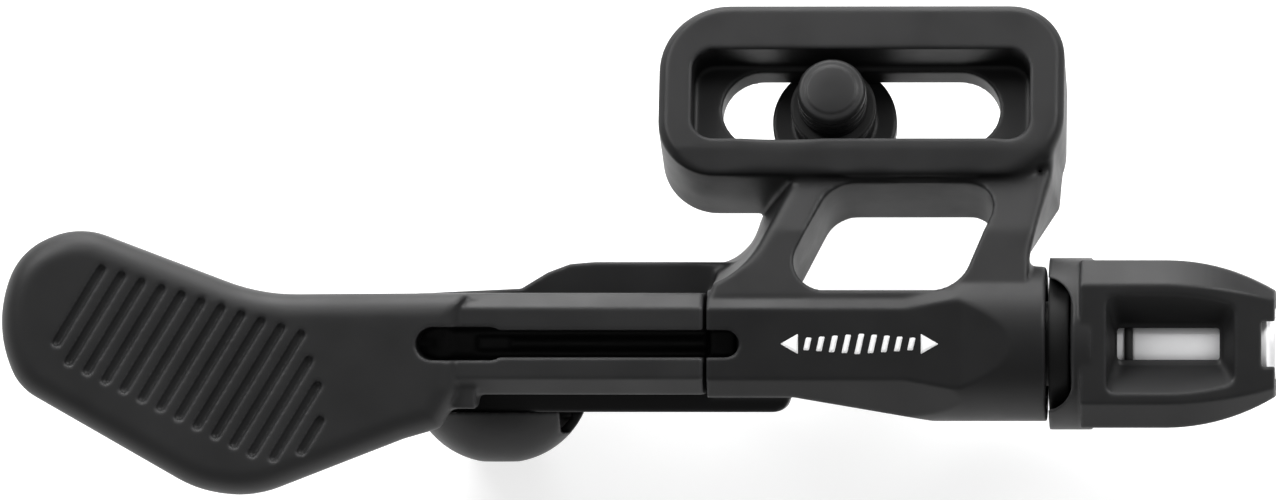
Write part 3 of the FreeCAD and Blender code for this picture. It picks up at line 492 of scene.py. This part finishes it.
soft_edged("bracket", "bracket_body", voxel=0.13, passes=3, keep=0.35, blends=[
    # where the struts meet the tray, and then the barrel
    ((-3.5, -6.2, 1.6), 4.2, 70), ((15.0, -5.4, 1.6), 4.2, 70),
    ((-7.2, -12.6, -0.5), 3.4, 50), ((12.9, -11.6, -0.5), 3.6, 50),
    # the upper corners of the window between the struts
    ((3.0, -5.6, 2.0), 2.2, 30), ((9.5, -5.6, 2.0), 2.2, 30),
    # the struts' front facets, and the tray's lower right corner
    ((-5.5, -10.5, 2.5), 3.0, 60), ((14.0, -10.5, 2.5), 3.0, 60), ((15.0, -6.0, 3.2), 2.4, 60)])
soft_edged("lever", "lever_body", voxel=0.13, passes=3, keep=0.35, blends=[
    # where the thumb pad meets the arm, below and above
    ((-27.5, -20.6, -3.0), 4.0, 60), ((-26.6, -14.3, 1.0), 3.0, 40)])
soft_edged("adjuster_knob", "knob_body", voxel=0.1, passes=3, keep=0.35)
soft_edged("spring_cap", "spring_cap_body", voxel=0.1, passes=2, keep=0.5)
soft_edged("clamp_washer", "clamp_washer_body", voxel=0.08, passes=2, keep=0.5)
build_bolt()
build_mark()
follow_both_ends("return_spring", "return_spring_wire", "lever", "spring_steel",
                 *(lower_point(PIVOT_X, p, PIVOT_Q) for p in RETURN_SPAN))
# The detent spring wears the dark black steel finish as painted shade: it shows in the shadowed gap
# inside the knob's skirt.
follow_both_ends("detent_spring", "detent_spring_wire", "detent_ring", "black_steel",
                 *(lower_point(x, 0, 0) for x in DETENT_SPAN))


# ---------------------------------------------------------------- floor, light, camera

WHITE = (1, 1, 1, 1)
FLOOR_HALF = 1.5
FLOOR_GAP = 0.0005
FLOOR_GLOW = 0.72
WORLD_LIGHT = 0.36
LAMP_DISTANCE = 0.7
EYE_DISTANCE = 1.0
VIEW_WIDTH = 0.0914
AIM_LEFT, AIM_DOWN = 0.01382, 0.01004
TO_CAMERA = Vector((0.06, -0.375, 0.925)).normalized()
TO_RIGHT = (Vector((1, 0, 0)) - TO_CAMERA * TO_CAMERA.x).normalized()
TO_TOP = TO_CAMERA.cross(TO_RIGHT)


def build_floor():
    """A plain pale floor, which glows a little so that it stays white round the object."""
    mesh = bpy.data.meshes.new("floor")
    half = FLOOR_HALF
    corners = [(-half, -half, 0), (half, -half, 0), (half, half, 0), (-half, half, 0)]
    mesh.from_pydata(corners, [], [(0, 1, 2, 3)])
    floor = add_object("floor", mesh)
    floor.location.z = cad_low.z - FLOOR_GAP
    material, tree, shader = new_material("floor")
    place = tree.nodes.new("ShaderNodeTexCoord").outputs["Object"]
    cloudy = add_node(tree, "ShaderNodeTexNoise", Vector=place, Scale=8.0, Detail=2.0).outputs[0]
    pale = blend_colour(tree, cloudy, (0.5, 0.5, 0.5), (0.52, 0.52, 0.52))
    tree.links.new(pale, shader.inputs["Base Color"])
    shader.inputs["Roughness"].default_value = 0.9
    shader.inputs["Emission Color"].default_value = WHITE
    shader.inputs["Emission Strength"].default_value = FLOOR_GLOW
    mesh.materials.append(material)


def area_light(name, direction, size, power):
    """A round soft light, in watts, that faces the object's origin."""
    light = bpy.data.lights.new(name, "AREA")
    light.shape = "DISK"
    light.size = size
    light.energy = power
    lamp = add_object(name, light)
    away = Vector(direction).normalized()
    lamp.location = away * LAMP_DISTANCE
    lamp.rotation_mode = "QUATERNION"
    lamp.rotation_quaternion = (-away).to_track_quat("-Z", "Y")


def build_light():
    """An even white studio with a key light from beyond the object and one from each side."""
    world = bpy.data.worlds.new("studio")
    world.use_nodes = True
    bpy.context.scene.world = world
    world.node_tree.nodes["Background"].inputs["Color"].default_value = WHITE
    world.node_tree.nodes["Background"].inputs["Strength"].default_value = WORLD_LIGHT
    area_light("key", (-0.1, 0.95, 0.45), 0.6, 7.0)
    area_light("left", (-0.6, 0.45, 0.8), 0.3, 4.0)
    area_light("right", (0.65, 0.45, 0.8), 0.3, 4.0)


def build_camera():
    """A long lens that looks at the object from the front and above."""
    camera = bpy.data.cameras.new("camera")
    camera.sensor_width = 36.0
    camera.lens = camera.sensor_width * EYE_DISTANCE / VIEW_WIDTH
    camera.clip_start, camera.clip_end = 0.05, 20.0
    eye = add_object("camera", camera)
    aim = -TO_RIGHT * AIM_LEFT - TO_TOP * AIM_DOWN
    eye.location = aim + TO_CAMERA * EYE_DISTANCE
    turned = Matrix((TO_RIGHT, TO_TOP, TO_CAMERA)).transposed()
    eye.rotation_mode = "QUATERNION"
    eye.rotation_quaternion = turned.to_quaternion()
    bpy.context.scene.camera = eye


build_floor()
build_light()
build_camera()
bpy.context.scene.view_settings.view_transform = "Standard"
